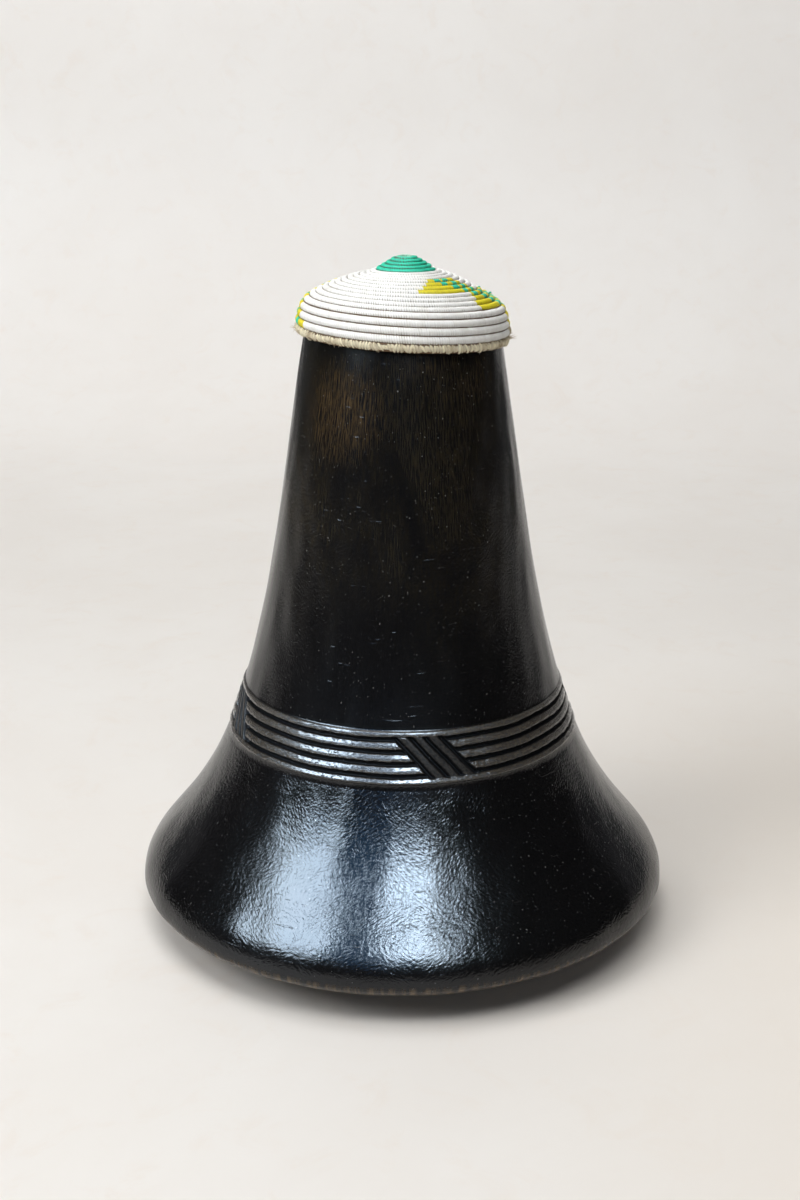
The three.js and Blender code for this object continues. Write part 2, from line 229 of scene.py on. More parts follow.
# A panel is measured along the wall, which leans back at the band.
wall_lean = math.radians(19)
panel_edge = 0.35
panel_end_in = 0.5
panel_end_out = 0.3
slanted_crown = 0.05
slanted_sink = 0.25
last_cut = (slant_cuts - 1) / 2
panel_half_width = last_cut * slant_pitch + slant_mouth
panel_half_height = (band_width / 2 - border_ridge) / math.cos(wall_lean)
upward = (height - band_height - band_width / 2) / math.cos(wall_lean)
past_end = smooth(np.abs(upward), panel_half_height - panel_end_in, panel_half_height + panel_end_out)
panel_ridges = np.zeros_like(depth)
for panel in panel_azimuths:
    turned = (columns[None, :] - panel + 180) % 360 - 180
    across = np.radians(turned) * radius + slant_lean / 2 * upward / panel_half_height
    across = across + waves(20 + panel, 6, (8, 40), 0.4, 0.22)
    past_side = smooth(np.abs(across), panel_half_width - panel_edge, panel_half_width + panel_edge)
    in_panel = (1 - past_side) * (1 - past_end) * (np.abs(turned) < 2 * panel_reach)
    nearest = np.clip(np.round(across / slant_pitch + last_cut), 0, slant_cuts - 1) - last_cut
    beside = np.abs(across - nearest * slant_pitch)
    crown = slanted_crown * (slant_pitch / 2 - beside)**2
    slanted = cut_depth(beside, slant_floor, slant_mouth) + crown + slanted_sink
    depth = depth * (1 - in_panel) + slanted * in_panel
    panel_ridges = np.maximum(panel_ridges, in_panel)

# Small chips roughen the carving. The waves are tool marks and a jug that was never
# quite round, which die away at the foot and near the lip and are weaker inside.
chip_size = 0.05
fine_chips = 0.4
inner_marks = 0.35
foot_calm = (0.5, 8)
lip_calm = 12
lip_calm_share = 0.6
chips = np.random.default_rng(8).normal(size=radius.shape)
chips = (chips + np.roll(chips, 1, axis=1) + np.roll(chips, 1, axis=0)) / 3
chips *= np.interp(np.gradient(columns), [fine_step, plain_step], [fine_chips, 1])
carving = in_band * (band_proud - depth + chip_size * chips)
out_of_round = waves(1, 5, (1, 3), 0.012, 0.2)
tool_marks = waves(2, 30, (6, 34), 0.22, 0.085)
marked = np.where(np.arange(len(profile)) < len(outside), 1.0, inner_marks)[:, None]
near_lip = smooth(height, neck_top - lip_calm, neck_top)
marked = marked * smooth(height, *foot_calm) * (1 - lip_calm_share * near_lip)
lift = carving + marked * (out_of_round + tool_marks)
radius = radius + lift * outward_radius
height = height + lift * outward_height

row_count, column_count = radius.shape
corners = np.empty((row_count, column_count, 3))
corners[:, :, 0] = radius * np.sin(column_turn)
corners[:, :, 1] = -radius * np.cos(column_turn)
corners[:, :, 2] = height
corners = corners.reshape(-1, 3)
number = np.arange(row_count * column_count).reshape(row_count, column_count)
onward = np.roll(number, -1, axis=1)
quads = np.stack([number[:-1], onward[:-1], onward[1:], number[1:]], axis=2).reshape(-1, 4)
foot_middle = len(corners)
floor_middle = foot_middle + 1
corners = np.vstack([corners, [[0, 0, 0], [0, 0, base_thickness]]])
caps = [(foot_middle, onward[0, i], number[0, i]) for i in range(column_count)]
caps += [(floor_middle, number[-1, i], onward[-1, i]) for i in range(column_count)]


def make_piece(name, corners, faces):
    """Makes a smooth mesh object from corners in millimetres."""
    mesh = bpy.data.meshes.new(name)
    mesh.from_pydata(corners * mm, [], faces)
    mesh.polygons.foreach_set("use_smooth", [True] * len(mesh.polygons))
    mesh.update()
    piece = bpy.data.objects.new(name, mesh)
    bpy.context.scene.collection.objects.link(piece)
    return piece


jug = make_piece("carved_jug", corners, quads.tolist() + caps)

# Marks how near each point is to the top of a ridge, for the finish of the wood.
top_depth = 1.15
panel_dullness = 0.5
ridge_tops = in_band * np.clip(top_depth - depth - panel_dullness * panel_ridges, 0, 1)
layer = jug.data.attributes.new("ridge_top", "FLOAT", "POINT")
layer.data.foreach_set("value", np.append(ridge_tops, [0, 0]).astype(np.float32))

# The skin map runs round the jug and up its wall, so marks of the tool follow the surface.
girth = 0.1
round_start = np.radians(columns) * girth
round_end = np.append(round_start[1:], round_start[0] + 2 * math.pi * girth)
wall_length = np.concatenate([[0], np.cumsum(np.linalg.norm(np.diff(profile, axis=0), axis=1))]) * mm
skin = np.empty((row_count - 1, column_count, 4, 2))
skin[:, :, (0, 3), 0] = round_start[None, :, None]
skin[:, :, (1, 2), 0] = round_end[None, :, None]
skin[:, :, (0, 1), 1] = wall_length[:-1, None, None]
skin[:, :, (2, 3), 1] = wall_length[1:, None, None]
foot_skin = np.zeros((column_count, 3, 2))
foot_skin[:, 0, 0] = round_start
foot_skin[:, 1, 0] = round_end
foot_skin[:, 2, 0] = round_start
floor_skin = foot_skin + [0, wall_length[-1]]
layer = jug.data.uv_layers.new(name="skin")
layer.data.foreach_set("uv", np.vstack([
    part.reshape(-1, 2) for part in (skin, foot_skin, floor_skin)]).astype(np.float32).ravel())
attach(jug, "jug")
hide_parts("jug_body")


# The finish of the wood: smoke black, with brown grain where hands have worn the
# neck and where the belly's lower edge has rubbed on the ground, and with dry grey
# crumbs on the tops of the carved ridges.
def feed(tree, socket, value):
    if isinstance(value, bpy.types.NodeSocket):
        tree.links.new(value, socket)
    else:
        socket.default_value = value


def add(tree, kind, inputs=None, **settings):
    made = tree.nodes.new("ShaderNode" + kind)
    for name, value in settings.items():
        setattr(made, name, value)
    for key, value in (inputs or {}).items():
        feed(tree, made.inputs[key], value)
    return made


def calc(tree, operation, *values):
    return add(tree, "Math", dict(enumerate(values)), operation=operation).outputs[0]


def fade(tree, value, low, high, to_low=0.0, to_high=1.0):
    inputs = {"Value": value, "From Min": low, "From Max": high, "To Min": to_low, "To Max": to_high}
    return add(tree, "MapRange", inputs, interpolation_type="SMOOTHSTEP").outputs[0]


def mix_colours(tree, share, first, second):
    return add(tree, "Mix", {0: share, 6: first, 7: second}, data_type="RGBA").outputs[2]


def stretched_noise(tree, place, stretch, scale, detail=3.0, roughness=0.55, distortion=0.0):
    mapped = add(tree, "Mapping", {"Vector": place, "Scale": stretch}).outputs[0]
    inputs = {"Vector": mapped, "Scale": scale, "Detail": detail, "Roughness": roughness}
    return add(tree, "TexNoise", {**inputs, "Distortion": distortion}).outputs[0]


def new_group(name, inputs, outputs):
    """A shader node group; inputs and outputs are (name, kind, value)."""
    group = bpy.data.node_groups.new(name, "ShaderNodeTree")
    for direction, sockets in (("INPUT", inputs), ("OUTPUT", outputs)):
        for label, kind, value in sockets:
            socket = group.interface.new_socket(label, in_out=direction, socket_type="NodeSocket" + kind)
            if value is not None:
                socket.default_value = value
    given = group.nodes.new("NodeGroupInput").outputs
    result = group.nodes.new("NodeGroupOutput").inputs
    return group, given, result


def turned_skin(tree, skin, angle):
    inputs = {"Vector": skin, "Angle": angle}
    return add(tree, "VectorRotate", inputs, rotation_type="Z_AXIS").outputs[0]


# Wood that was worked by hand: long pores up the grain, short dents of the tool
# and a leathery skin of dried fat over them.
hand_worked, given, result = new_group(
    "hand_worked_wood",
    [("Place", "Vector", None), ("Skin", "Vector", None),
     ("Dents", "Float", 1.0), ("Pores", "Float", 1.0)],
    [("Grain", "Float", None), ("Patches", "Float", None),
     ("Specks", "Float", None), ("Height", "Float", None)],
)
tree = hand_worked
place = given["Place"]
grain = stretched_noise(tree, given["Skin"], (1, 0.1, 1), 1250, 4, 0.65, 0.2)
patches = stretched_noise(tree, place, (1, 1, 0.5), 26, 5, 0.68, 0.6)
drift = stretched_noise(tree, place, (1, 1, 1), 55, 2, 0.5)
to_left = turned_skin(tree, given["Skin"], 0.95)
to_right = turned_skin(tree, given["Skin"], -0.85)
left_dents = stretched_noise(tree, to_left, (1, 0.42, 1), 1080, 2, 0.55, 0.3)
right_dents = stretched_noise(tree, to_right, (1, 0.5, 1), 960, 2, 0.55, 0.3)
which = fade(tree, drift, 0.44, 0.56)
dents = add(tree, "Mix", {0: which, 2: left_dents, 3: right_dents}, data_type="FLOAT").outputs[0]
broad = stretched_noise(tree, place, (1, 1, 0.8), 300, 2, 0.5, 0.3)
dent_relief = calc(tree, "MULTIPLY", dents, 2.0)
broad_relief = calc(tree, "MULTIPLY", broad, 0.8)
relief = calc(tree, "MULTIPLY", calc(tree, "ADD", dent_relief, broad_relief), given["Dents"])
scratches = stretched_noise(tree, given["Skin"], (0.09, 1, 1), 800, 1, 0.5, 0.5)
scratch_share = fade(tree, drift, 0.46, 0.56, 0.0, 0.9)
scratched = calc(tree, "MULTIPLY", fade(tree, scratches, 0.71, 0.77), scratch_share)
relief = calc(tree, "SUBTRACT", relief, calc(tree, "MULTIPLY", scratched, given["Dents"]))
specks = fade(tree, stretched_noise(tree, place, (1, 1, 0.7), 1500, 1, 0.5), 0.745, 0.80)
pores = calc(tree, "MULTIPLY", fade(tree, grain, 0.36, 0.5), given["Pores"])
tree.links.new(grain, result["Grain"])
tree.links.new(patches, result["Patches"])
tree.links.new(specks, result["Specks"])
tree.links.new(calc(tree, "ADD", relief, pores), result["Height"])


def new_material(name, **constants):
    """A material with a Principled shader, whose constants sit on its own sockets."""
    material = bpy.data.materials.new(name)
    material.use_nodes = True
    tree = material.node_tree
    shader = tree.nodes["Principled BSDF"]
    for key, value in constants.items():
        shader.inputs[key.replace("_", " ")].default_value = value
    return material, tree, shader


def place_group(tree, group, inputs):
    made = tree.nodes.new("ShaderNodeGroup")
    made.node_tree = group
    for key, value in inputs.items():
        feed(tree, made.inputs[key], value)
    return made.outputs


def add_bump(tree, shader, height, distance, strength=1.0):
    inputs = {"Strength": strength, "Distance": distance, "Height": height}
    tree.links.new(add(tree, "Bump", inputs).outputs[0], shader.inputs["Normal"])


smoke_black = (0.0042, 0.0042, 0.0046, 1)
thin_smoke = (0.018, 0.0145, 0.0075, 1)
worn_brown = (0.09, 0.056, 0.024, 1)
edge_brown = (0.16, 0.11, 0.06, 1)
dust = (0.20, 0.20, 0.20, 1)
ridge_grey = (0.068, 0.059, 0.047, 1)
blackened, tree, shader = new_material("blackened_wood", IOR=1.4, Coat_Roughness=0.2)
place = add(tree, "TexCoord").outputs["Object"]
surface = add(tree, "UVMap", uv_map="skin").outputs[0]
level = add(tree, "SeparateXYZ", {0: place}).outputs[2]
dent_share = fade(tree, level, 0.085, 0.12, 1.0, 0.4)
wood = place_group(tree, hand_worked, {"Place": place, "Skin": surface, "Dents": dent_share, "Pores": 0.12})
on_neck = calc(tree, "MULTIPLY", fade(tree, level, 0.13, 0.21), fade(tree, level, 0.29, 0.262))
pale_grain = fade(tree, wood["Grain"], 0.4, 0.62)
thin_here = calc(tree, "MULTIPLY", pale_grain, fade(tree, wood["Patches"], 0.3, 0.6))
colour = mix_colours(tree, calc(tree, "MULTIPLY", thin_here, on_neck), smoke_black, thin_smoke)
grip_place = (-0.032, -0.048, 0.25)
grip = add(tree, "VectorMath", {0: place, 1: grip_place}, operation="DISTANCE").outputs["Value"]
grip_wear = fade(tree, grip, 0.030, 0.008, 0.0, 0.8)
held = calc(tree, "MAXIMUM", fade(tree, wood["Patches"], 0.54, 0.76, 0.0, 0.36), grip_wear)
streaks = calc(tree, "MULTIPLY", fade(tree, wood["Grain"], 0.42, 0.66), held)
colour = mix_colours(tree, calc(tree, "MULTIPLY", streaks, on_neck), colour, worn_brown)
rubbed = stretched_noise(tree, surface, (1, 0.06, 1), 420, 4, 0.7)
low_edge = calc(tree, "MULTIPLY", fade(tree, level, 0.0225, 0.0175), fade(tree, rubbed, 0.42, 0.64))
colour = mix_colours(tree, low_edge, colour, edge_brown)
colour = mix_colours(tree, wood["Specks"], colour, dust)
ridge_top = add(tree, "Attribute", attribute_name="ridge_top").outputs["Fac"]
crumbs = stretched_noise(tree, surface, (0.6, 1, 1), 900, 3, 0.65)
worn_ridge = calc(tree, "MULTIPLY", ridge_top, fade(tree, crumbs, 0.3, 0.62))
rubbed_ridge = calc(tree, "MULTIPLY", ridge_top, fade(tree, crumbs, 0.40, 0.50))
tree.links.new(rubbed_ridge, shader.inputs["Coat Weight"])
colour = mix_colours(tree, worn_ridge, colour, ridge_grey)
tree.links.new(colour, shader.inputs["Base Color"])
shine = fade(tree, wood["Patches"], 0.3, 0.7, 0.14, 0.20)
dull_edge = fade(tree, level, 0.026, 0.012, 0, 0.25)
dry_ridge = calc(tree, "MULTIPLY", ridge_top, fade(tree, crumbs, 0.46, 0.38, 0.0, 0.4))
carved_from = band_height * mm
carved_to = (band_top + 0.1) * mm
carved_edge = 0.0014
above_start = fade(tree, level, carved_from, carved_from + carved_edge)
carved = calc(tree, "MULTIPLY", above_start, fade(tree, level, carved_to, carved_to - carved_edge))
groove = calc(tree, "MULTIPLY", carved, fade(tree, ridge_top, 0.7, 0.35))
tree.links.new(fade(tree, groove, 0, 1, 0.5, 0.12), shader.inputs["Specular IOR Level"])
dull_groove = calc(tree, "MULTIPLY", groove, 0.35)
dullness = calc(tree, "MAXIMUM", calc(tree, "MAXIMUM", dull_edge, dry_ridge), dull_groove)
tree.links.new(calc(tree, "ADD", shine, dullness), shader.inputs["Roughness"])
crumbled = calc(tree, "MULTIPLY", calc(tree, "MULTIPLY", ridge_top, crumbs), 6.0)
add_bump(tree, shader, calc(tree, "ADD", wood["Height"], crumbled), 0.00009)
jug.data.materials.append(blackened)

# Inside, the smoked wood is dull and was never rubbed.
smoked_brown = (0.022, 0.014, 0.009, 1)
smoked, tree, shader = new_material("smoked_inside", IOR=1.45)
place = add(tree, "TexCoord").outputs["Object"]
surface = add(tree, "UVMap", uv_map="skin").outputs[0]
wood = place_group(tree, hand_worked, {"Place": place, "Skin": surface, "Dents": 1.0, "Pores": 1.0})
colour = mix_colours(tree, fade(tree, wood["Grain"], 0.35, 0.65), smoke_black, smoked_brown)
tree.links.new(colour, shader.inputs["Base Color"])
tree.links.new(fade(tree, wood["Patches"], 0.3, 0.7, 0.6, 0.8), shader.inputs["Roughness"])
add_bump(tree, shader, wood["Height"], 0.0001)
jug.data.materials.append(smoked)
face_rows = np.repeat(np.arange(row_count - 1), column_count)
smoked_from = len(outside) + 3
inner_faces = (face_rows >= smoked_from).astype(np.int32)
slots = np.concatenate([inner_faces, np.zeros(column_count, np.int32), np.ones(column_count, np.int32)])
jug.data.polygons.foreach_set("material_index", slots)


# The lid is one long coil: a bundle of grass wound from the tip to the rim, with
# a strand sewn over it stitch by stitch. It sits over the lip, leaning a little.
lid_height = 33.5
lid_overlap = 14
lid_fit = 1
coil_thickness = 2.9
lid_radius = neck_radius(jug_height - lid_overlap) + lid_fit + coil_thickness / 2
meridian_points = [
    (0, lid_height + 1.1),
    (4.2, lid_height + 0.8),
    (7.8, lid_height - 1.2),
    (14.3, lid_height - 4.9),
    (22.8, lid_height - 7.4),
    (lid_radius - 7.6, lid_height - 14.8),
    (lid_radius - 2.8, lid_height - 18.4),
    (lid_radius - 0.4, 8.6),
    (lid_radius, 0),
]
lid_lean = math.radians(2.3)
lid_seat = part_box("lid_green_centre")[1].z / mm - (lid_height + coil_thickness / 2) * math.cos(lid_lean)


def soft_curve(points, count):
    """A centripetal Catmull-Rom curve through the points."""
    points = [np.array(point, float) for point in points]
    points = [2 * points[0] - points[1], *points, 2 * points[-1] - points[-2]]
    share = np.linspace(0, 1, count, endpoint=False)[:, None]
    run = []
    for before, start, end, after in zip(points, points[1:], points[2:], points[3:]):
        steps = (start - before, end - start, after - end)
        first, middle, last = [max(np.linalg.norm(step)**0.5, 1e-4) for step in steps]
        leaving = (start - before) / first - (end - before) / (first + middle) + (end - start) / middle
        arriving = (end - start) / middle - (after - start) / (middle + last) + (after - end) / last
        leaving = leaving * middle
        arriving = arriving * middle
        square = -3 * start + 3 * end - 2 * leaving - arriving
        cube = 2 * start - 2 * end + leaving + arriving
        run.append(start + leaving * share + square * share**2 + cube * share**3)
    return np.vstack([*run, points[-2][None]])


meridian = soft_curve(meridian_points, 80)
meridian_steps = np.linalg.norm(np.diff(meridian, axis=0), axis=1)
meridian_length = np.concatenate([[0], np.cumsum(meridian_steps)])

green_turns = 6
white_turns = 15
coil_turns = 22
centre_pitch = 2.2
rim_pitch = 3.8
row_total = coil_turns + 0.5
coil_start = 0.4
coil_end_azimuth = 80
tail_turns = 3 / 36


def rows_to_length(rows):
    return centre_pitch * rows + (rim_pitch - centre_pitch) * rows * rows / (2 * row_total)


length_share = meridian_length[-1] / rows_to_length(row_total)


def meridian_spot(length):
    return np.column_stack([np.interp(length, meridian_length, meridian[:, i]) for i in (0, 1)])


def on_meridian(rows):
    """Place and direction of the lid's meridian at a number of rows from the tip."""
    half_step = 0.4
    length = rows_to_length(rows) * length_share
    direction = meridian_spot(length + half_step) - meridian_spot(length - half_step)
    return meridian_spot(length), direction / np.linalg.norm(direction, axis=1)[:, None]


# The stitches are counted along the coil, in quarters of a stitch.
stitch_width = 1.05
rim_stitch_width = 1.25
quarters = 4
turn_table = np.linspace(coil_start, coil_turns + tail_turns, 24000)
table_radius = on_meridian(turn_table)[0][:, 0]
table_width = np.where(turn_table < green_turns + white_turns, stitch_width, rim_stitch_width)
stitch_table = np.cumsum(2 * math.pi * table_radius * (turn_table[1] - turn_table[0]) / table_width)
stitch_total = int(stitch_table[-1])
sample_stitches = np.arange(stitch_total * quarters + 1) / quarters
sample_turns = np.interp(sample_stitches, stitch_table, turn_table)
draw = np.random.default_rng(11)
stitch_height = draw.normal(size=stitch_total + 2)
stitch_lean = draw.normal(size=stitch_total + 2)


def azimuth_of(turns):
    return coil_end_azimuth + 360 * turns


tip_level = 1.3
tip_core = 10
tip_reach = 36


def lean_lid(corners):
    """Leans the lid's own points, all but its tip, and sets them down on the jug's lip."""
    cosine = math.cos(lid_lean)
    sine = math.sin(lid_lean)
    leaned = np.empty_like(corners)
    leaned[:, 0] = corners[:, 0] * cosine + corners[:, 2] * sine
    leaned[:, 1] = corners[:, 1]
    from_axis = np.hypot(corners[:, 0], corners[:, 1])
    level_tip = tip_level * (1 - smooth(from_axis, tip_core, tip_reach))
    leaned[:, 2] = corners[:, 0] * sine * (level_tip - 1) + corners[:, 2] * cosine + lid_seat
    return leaned


# Between two stitches the strand dips, most of all at the seams with the next rows.
# The coil starts thin at the tip and ends in a tapered tail.
strand_points = 12
section_angle = np.linspace(0, 2 * math.pi, strand_points, endpoint=False)
valley_shape = np.array([1.0, 0.28, 0.0, 0.28])
valley_depth = 0.10
seam_depth = 0.16
stitch_swell = 0.02
stitch_slant = 0.30
start_width = 0.55
full_width_turn = 1.2
tail_thinning = 0.72
least_reach = 2.0


def sewn_coil(name, stretches, roughness=1.0, lumps=0.035, lean_spread=0.06, width=0.5, thickness=1.0):
    """Makes stretches of the coil, each from a first to a last stitch, as closed tubes."""
    corners = []
    faces = []
    marks = []
    total = 0
    for first, last in stretches:
        sample = np.arange(first * quarters, last * quarters + 1)
        turns = sample_turns[sample]
        stitch = sample // quarters
        spot, direction = on_meridian(turns)
        pitch = length_share * (centre_pitch + (rim_pitch - centre_pitch) * turns / row_total)
        start_taper = start_width + (1 - start_width) * smooth(turns, coil_start, full_width_turn)
        along_tail = np.clip((turns - coil_turns) / tail_turns, 0, 1)
        taper = start_taper * (1 - tail_thinning * along_tail)
        valley = valley_shape[sample % quarters][:, None]
        seam_side = np.abs(np.sin(section_angle))[None, :]
        bumpy = lumps * stitch_height[stitch][:, None] * (1 - valley)
        dip = valley * (valley_depth + seam_depth * seam_side**3)
        swell = bumpy + (stitch_swell - dip) * roughness
        half_width = (pitch * width * taper)[:, None] + swell
        half_thick = (coil_thickness / 2 * thickness * taper)[:, None] + swell
        down = half_width * np.sin(section_angle)[None, :]
        up = half_thick * np.cos(section_angle)[None, :]
        radius = spot[:, 0:1] + down * direction[:, 0:1] - up * direction[:, 1:2]
        height = spot[:, 1:2] + down * direction[:, 1:2] + up * direction[:, 0:1]
        slant = (stitch_slant + lean_spread * stitch_lean[stitch])[:, None] * np.sin(section_angle)[None, :]
        reach = np.maximum(spot[:, 0:1], least_reach)
        angle = np.radians(azimuth_of(turns))[:, None] + slant * stitch_width / reach
        points = np.stack([radius * np.sin(angle), -radius * np.cos(angle), height], axis=2).reshape(-1, 3)
        count = len(sample)
        number = total + np.arange(count * strand_points).reshape(count, strand_points)
        onward = np.roll(number, -1, axis=1)
        quads = np.stack([number[:-1], number[1:], onward[1:], onward[:-1]], axis=2).reshape(-1, 4)
        faces.extend(quads.tolist())
        faces.append(number[0].tolist())
        faces.append(number[-1][::-1].tolist())
        corners.append(points)
        marks.append(np.column_stack([
            np.repeat(sample_stitches[sample], strand_points),
            np.tile(section_angle / (2 * math.pi), count),
        ]))
        total += count * strand_points
    piece = make_piece(name, lean_lid(np.vstack(corners)), faces)
    mark_strands(piece, np.vstack(marks))
    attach(piece, "lid")
    return piece


def mark_strands(piece, marks):
    """Writes the stitch count and the way round the strand into the piece's UV map."""
    corner_numbers = np.empty(len(piece.data.loops), np.int32)
    piece.data.loops.foreach_get("vertex_index", corner_numbers)
    chosen = marks[corner_numbers]
    starts = np.empty(len(piece.data.polygons), np.int32)
    sizes = np.empty(len(piece.data.polygons), np.int32)
    piece.data.polygons.foreach_get("loop_start", starts)
    piece.data.polygons.foreach_get("loop_total", sizes)
    face_of_loop = np.repeat(np.arange(len(starts)), sizes)
    widest = np.zeros(len(starts))
    np.maximum.at(widest, face_of_loop, chosen[:, 1])
    wraps = (widest[face_of_loop] > 0.7) & (chosen[:, 1] < 0.3) & (sizes[face_of_loop] == 4)
    chosen[:, 1] = np.where(wraps, chosen[:, 1] + 1, chosen[:, 1])
    layer = piece.data.uv_layers.new(name="strand")
    layer.data.foreach_set("uv", chosen.astype(np.float32).ravel())


def stitch_at(turns):
    return int(round(float(np.interp(turns, turn_table, stitch_table))))


def turn_at(white_turn, azimuth):
    """The coil's turn at an azimuth of a white turn, which starts at the coil's end azimuth."""
    return green_turns + white_turn - 1 + ((azimuth - coil_end_azimuth) % 360) / 360


# Each yellow step: its first white turn, and for each turn where the yellow
# starts and ends, in degrees round the lid, with the green checks inside it.
yellow_steps = [
    (4, [(25, 64, [(34, 41), (45, 52)]), (21, 68, [(39, 45), (53, 60)]),
         (15, 72, [(47, 56), (61, 67)]), (11, 76, [(55, 62), (68, 74)])]),
    (8, [(58, 98, [(62, 69), (76, 83)]), (57, 100, [(71, 78), (86, 92)]),
         (52, 102, [(74, 81), (88, 94)]), (51, 110, [(80, 86), (94, 100)])]),
    (13, [(82, 138, [(92, 99), (108, 115)]), (80, 140, [(98, 105), (114, 121)]),
          (81, 142, [(104, 111), (120, 127)])]),
    (4, [(206, 236, [(214, 220), (225, 231)]), (198, 238, [(208, 214), (222, 228)]),
         (192, 240, [(204, 210), (218, 225)]), (186, 242, [(198, 205), (214, 221)])]),
    (8, [(226, 256, [(232, 238), (244, 250)]), (222, 259, [(230, 236), (246, 252)]),
         (218, 261, [(232, 238), (248, 254)]), (216, 263, [(234, 241), (250, 256)])]),
    (12, [(240, 277, [(248, 254), (262, 268)]), (234, 281, [(250, 256), (265, 270)]),
          (230, 286, [(258, 264), (272, 277)]), (222, 294, [(264, 270), (279, 285)])]),
]
yellow_stretches = []
check_stretches = []
taken = []
for first_turn, rows in yellow_steps:
    stretches = []
    for i, (start, end, checks) in enumerate(rows):
        start_turn = turn_at(first_turn + i, start)
        next_stitch = stitch_at(start_turn)
        last = stitch_at(start_turn + (end - start) / 360)
        taken.append((next_stitch, last))
        for check in checks:
            check_first, check_last = [stitch_at(start_turn + (a - start) / 360) for a in check]
            stretches.append((next_stitch, check_first))
            check_stretches.append((check_first, check_last))
            next_stitch = check_last
        stretches.append((next_stitch, last))
    yellow_stretches.append(stretches)
white_stretches = []
next_stitch = stitch_at(green_turns)
for first, last in sorted(taken):
    white_stretches.append((next_stitch, first))
    next_stitch = last
rim_start = stitch_at(green_turns + white_turns)
white_stretches.append((next_stitch, rim_start))

green_centre = sewn_coil("green_centre_strands", [(0, stitch_at(green_turns))])
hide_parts("lid_green_centre")
white_field = sewn_coil("white_strands", white_stretches)
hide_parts("lid_white_coil")
yellow_pieces = []
for i, stretches in enumerate(yellow_stretches):
    yellow = sewn_coil(f"yellow_strands_{i + 1}", stretches)
    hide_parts(f"lid_yellow_step_{i + 1}")
    yellow_pieces.append(yellow)
green_checks = sewn_coil("green_check_strands", check_stretches)
grass_short = 20
grass = sewn_coil(
    "grass_bundle", [(0, stitch_total - grass_short)], roughness=0, lumps=0, width=0.53, thickness=0.62)


# The finish of the sewn strands: each stitch has its own tint and fine fibres
# along it, and the brown grass shows where stitches part. Short dashes of painted
# shade, in the same brown, darken the seams between rows, where two rows meet in a crease.
sewn, given, result = new_group(
    "sewn_strand",
    [("Strand", "Color", None), ("Shade", "Color", None), ("Grass And Shade", "Color", None),
     ("Unevenness", "Float", 0.5), ("Openness", "Float", 0.5), ("Seam", "Float", 0.86)],
    [("Color", "Color", None), ("Height", "Float", None), ("Gaps And Seam Shade", "Float", None)],
)
tree = sewn
strand_map = add(tree, "UVMap", uv_map="strand").outputs[0]
parts = add(tree, "SeparateXYZ", {0: strand_map}).outputs
stitch_number = calc(tree, "FLOOR", parts[0])
across_stitch = calc(tree, "FRACT", parts[0])
tint = add(tree, "TexWhiteNoise", {"W": stitch_number}, noise_dimensions="1D").outputs[0]
second_number = calc(tree, "ADD", stitch_number, 0.37)
second_tint = add(tree, "TexWhiteNoise", {"W": second_number}, noise_dimensions="1D").outputs[0]
from_middle = calc(tree, "ABSOLUTE", calc(tree, "SUBTRACT", across_stitch, 0.5))
edge = fade(tree, from_middle, 0.30, 0.49)
round_strand = calc(tree, "MULTIPLY", parts[1], 2 * math.pi)
seam_side = calc(tree, "ABSOLUTE", calc(tree, "SINE", round_strand))
fibre_places = {0: calc(tree, "MULTIPLY", parts[0], 9.0), 1: calc(tree, "MULTIPLY", parts[1], 7.0)}
fibre_place = add(tree, "CombineXYZ", fibre_places).outputs[0]
fibres = add(tree, "TexNoise", {"Vector": fibre_place, "Scale": 1.0, "Detail": 2.0}).outputs[0]
stain_place = add(tree, "TexCoord").outputs["Object"]
stain_inputs = {"Vector": stain_place, "Scale": 140.0, "Detail": 3.0, "Roughness": 0.6}
stains = add(tree, "TexNoise", stain_inputs).outputs[0]
shades = calc(tree, "ADD", calc(tree, "MULTIPLY", tint, 0.6), calc(tree, "MULTIPLY", fibres, 0.5))
shades = calc(tree, "ADD", shades, fade(tree, stains, 0.52, 0.75))
shades = calc(tree, "MINIMUM", calc(tree, "MULTIPLY", shades, given["Unevenness"]), 1.0)
colour = mix_colours(tree, shades, given["Strand"], given["Shade"])
open_here = calc(tree, "MULTIPLY", fade(tree, second_tint, 0.1, 0.9, 0.35, 1.2), given["Openness"])
open_side = calc(tree, "MULTIPLY", edge, fade(tree, seam_side, 0.35, 0.9, 0.25, 1.0))
gaps_and_seam_shade = calc(tree, "MULTIPLY", open_side, open_here)
# Painted shade: the seams between rows are darkened in short dashes, as in the shade of the crease where
# two rows meet.
seam_shade_start = calc(tree, "ADD", given["Seam"], fade(tree, fibres, 0.3, 0.7, -0.05, 0.05))
seam_shade = fade(tree, seam_side, seam_shade_start, calc(tree, "ADD", seam_shade_start, 0.12), 0.0, 0.95)
drawn_shut = add(tree, "TexNoise", {"Vector": stain_place, "Scale": 45.0, "Detail": 1.0}).outputs[0]
dashes = fade(tree, from_middle, 0.12, 0.42, 0.3, 1.0)
dashes = calc(tree, "MULTIPLY", dashes, fade(tree, drawn_shut, 0.4, 0.58, 0.3, 1.0))
seam_shade = calc(tree, "MULTIPLY", seam_shade, dashes)
# The parted stitches and the painted seam shade both take the grass colour.
gaps_and_seam_shade = calc(tree, "MINIMUM", calc(tree, "ADD", gaps_and_seam_shade, seam_shade), 1.0)
colour = mix_colours(tree, gaps_and_seam_shade, colour, given["Grass And Shade"])
tree.links.new(colour, result["Color"])
ridge = calc(tree, "MULTIPLY", edge, -0.8)
tree.links.new(calc(tree, "ADD", ridge, calc(tree, "MULTIPLY", fibres, 0.8)), result["Height"])
tree.links.new(gaps_and_seam_shade, result["Gaps And Seam Shade"])


# A pale green painted on the stitches at the lid's tip: a painted highlight on its top.
tip_highlight_colour = (0.78, 0.88, 0.72, 1)


